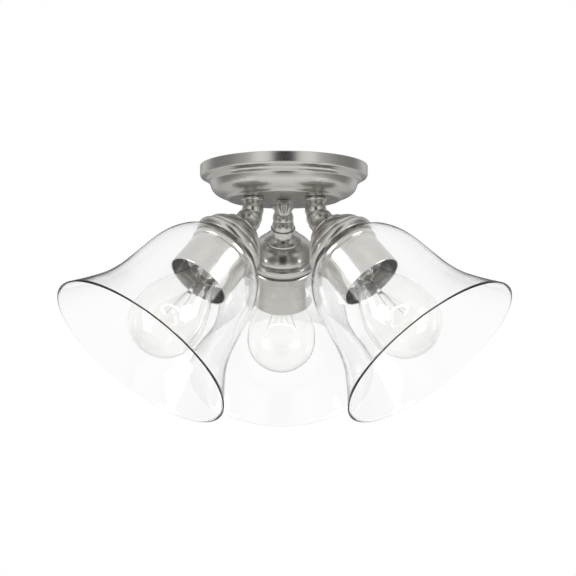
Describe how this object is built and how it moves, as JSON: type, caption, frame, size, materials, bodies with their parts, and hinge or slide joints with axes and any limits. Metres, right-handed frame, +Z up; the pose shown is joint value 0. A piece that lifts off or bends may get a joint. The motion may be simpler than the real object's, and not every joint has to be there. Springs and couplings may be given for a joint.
{
  "type": "semi-flush ceiling light",
  "caption": "Semi-flush ceiling light: a stepped round canopy with angled elbows that hold clear glass bell shades, each over a screw-in lamp.",
  "frame": {"origin": "middle of the ceiling plane, at the centre of the canopy's top edge", "axes": "+Z up into the ceiling; one light points to +Y and the other two are 120 degrees to either side of it"},
  "size_m": [0.3624, 0.3366, 0.2149],
  "materials": {
    "brushed_nickel": "brushed",
    "clear_glass": "clear",
    "porcelain": "glazed porcelain",
    "brass": "plain",
    "lamp_cap_aluminium": "rolled",
    "black_vitrite": "gloss",
    "solder": "dull",
    "tungsten": "fine wire",
    "zinc_steel": "zinc plated",
    "green_steel": "plated green",
    "black_insulation": "satin",
    "white_insulation": "satin",
    "orange_plastic": "satin"
  },
  "bodies": {
    "ceiling_hardware": {"crossbar": "zinc_steel", "ground_screw": "green_steel", "threaded_rod": "zinc_steel", "rod_locknut": "zinc_steel"},
    "canopy_and_arms": {"canopy": "brushed_nickel", "elbow_back": "brushed_nickel", "arm_nut_back": "zinc_steel", "holder_back": "brushed_nickel", "socket_body_back": "porcelain", "socket_shell_back": "brass", "centre_contact_back": "brass", "lead_live_back": "black_insulation", "lead_neutral_back": "white_insulation", "elbow_left": "brushed_nickel", "arm_nut_left": "zinc_steel", "holder_left": "brushed_nickel", "socket_body_left": "porcelain", "socket_shell_left": "brass", "centre_contact_left": "brass", "lead_live_left": "black_insulation", "lead_neutral_left": "white_insulation", "elbow_right": "brushed_nickel", "arm_nut_right": "zinc_steel", "holder_right": "brushed_nickel", "socket_body_right": "porcelain", "socket_shell_right": "brass", "centre_contact_right": "brass", "lead_live_right": "black_insulation", "lead_neutral_right": "white_insulation", "wire_nut_live": "orange_plastic", "wire_nut_neutral": "orange_plastic"},
    "finial": {"finial": "brushed_nickel"},
    "shade_back": {"glass_bell_back": "clear_glass"},
    "cup_back": {"retaining_cup_back": "brushed_nickel"},
    "lamp_tip_back": {"bulb_contact_back": "solder"},
    "lamp_back": {"bulb_glass_back": "clear_glass", "bulb_cap_back": "lamp_cap_aluminium", "bulb_insulator_back": "black_vitrite", "bulb_stem_back": "clear_glass", "bulb_filament_back": "tungsten"},
    "shade_left": {"glass_bell_left": "clear_glass"},
    "cup_left": {"retaining_cup_left": "brushed_nickel"},
    "lamp_tip_left": {"bulb_contact_left": "solder"},
    "lamp_left": {"bulb_glass_left": "clear_glass", "bulb_cap_left": "lamp_cap_aluminium", "bulb_insulator_left": "black_vitrite", "bulb_stem_left": "clear_glass", "bulb_filament_left": "tungsten"},
    "shade_right": {"glass_bell_right": "clear_glass"},
    "cup_right": {"retaining_cup_right": "brushed_nickel"},
    "lamp_tip_right": {"bulb_contact_right": "solder"},
    "lamp_right": {"bulb_glass_right": "clear_glass", "bulb_cap_right": "lamp_cap_aluminium", "bulb_insulator_right": "black_vitrite", "bulb_stem_right": "clear_glass", "bulb_filament_right": "tungsten"}
  },
  "joints": [
    {"name": "canopy_drop", "type": "slide", "parent": "ceiling_hardware", "child": "canopy_and_arms", "axis": [0, 0, -1], "range_m": [0, 0.008]},
    {"name": "finial_turn", "type": "hinge", "parent": "canopy_and_arms", "child": "finial", "pos_m": [0, 0, -0.036], "axis": [0, 0, -1], "range_deg": [0, 2880]},
    {"name": "shade_slide_back", "type": "slide", "parent": "canopy_and_arms", "child": "shade_back", "axis": [0, 0.6561, -0.7547], "range_m": [0, 0.008]},
    {"name": "cup_turn_back", "type": "hinge", "parent": "shade_back", "child": "cup_back", "pos_m": [0, 0.03, -0.0435], "axis": [0, 0.6561, -0.7547], "range_deg": [0, 1440]},
    {"name": "lamp_slide_back", "type": "slide", "parent": "canopy_and_arms", "child": "lamp_tip_back", "axis": [0, 0.6561, -0.7547], "range_m": [0, 0.0181]},
    {"name": "lamp_turn_back", "type": "hinge", "parent": "lamp_tip_back", "child": "lamp_back", "pos_m": [0, 0.03, -0.0435], "axis": [0, 0.6561, -0.7547], "range_deg": [0, 1800]},
    {"name": "shade_slide_left", "type": "slide", "parent": "canopy_and_arms", "child": "shade_left", "axis": [-0.5682, -0.328, -0.7547], "range_m": [0, 0.008]},
    {"name": "cup_turn_left", "type": "hinge", "parent": "shade_left", "child": "cup_left", "pos_m": [-0.02598, -0.015, -0.0435], "axis": [-0.5682, -0.328, -0.7547], "range_deg": [0, 1440]},
    {"name": "lamp_slide_left", "type": "slide", "parent": "canopy_and_arms", "child": "lamp_tip_left", "axis": [-0.5682, -0.328, -0.7547], "range_m": [0, 0.0181]},
    {"name": "lamp_turn_left", "type": "hinge", "parent": "lamp_tip_left", "child": "lamp_left", "pos_m": [-0.02598, -0.015, -0.0435], "axis": [-0.5682, -0.328, -0.7547], "range_deg": [0, 1800]},
    {"name": "shade_slide_right", "type": "slide", "parent": "canopy_and_arms", "child": "shade_right", "axis": [0.5682, -0.328, -0.7547], "range_m": [0, 0.008]},
    {"name": "cup_turn_right", "type": "hinge", "parent": "shade_right", "child": "cup_right", "pos_m": [0.02598, -0.015, -0.0435], "axis": [0.5682, -0.328, -0.7547], "range_deg": [0, 1440]},
    {"name": "lamp_slide_right", "type": "slide", "parent": "canopy_and_arms", "child": "lamp_tip_right", "axis": [0.5682, -0.328, -0.7547], "range_m": [0, 0.0181]},
    {"name": "lamp_turn_right", "type": "hinge", "parent": "lamp_tip_right", "child": "lamp_right", "pos_m": [0.02598, -0.015, -0.0435], "axis": [0.5682, -0.328, -0.7547], "range_deg": [0, 1800]}
  ],
  "couplings": [
    {"joint": "finial_turn", "follows": "canopy_drop", "rad_per_m": 6283},
    {"joint": "cup_turn_back", "follows": "shade_slide_back", "rad_per_m": 3141},
    {"joint": "lamp_turn_back", "follows": "lamp_slide_back", "rad_per_m": 1731},
    {"joint": "cup_turn_left", "follows": "shade_slide_left", "rad_per_m": 3141},
    {"joint": "lamp_turn_left", "follows": "lamp_slide_left", "rad_per_m": 1731},
    {"joint": "cup_turn_right", "follows": "shade_slide_right", "rad_per_m": 3141},
    {"joint": "lamp_turn_right", "follows": "lamp_slide_right", "rad_per_m": 1731}
  ]
}
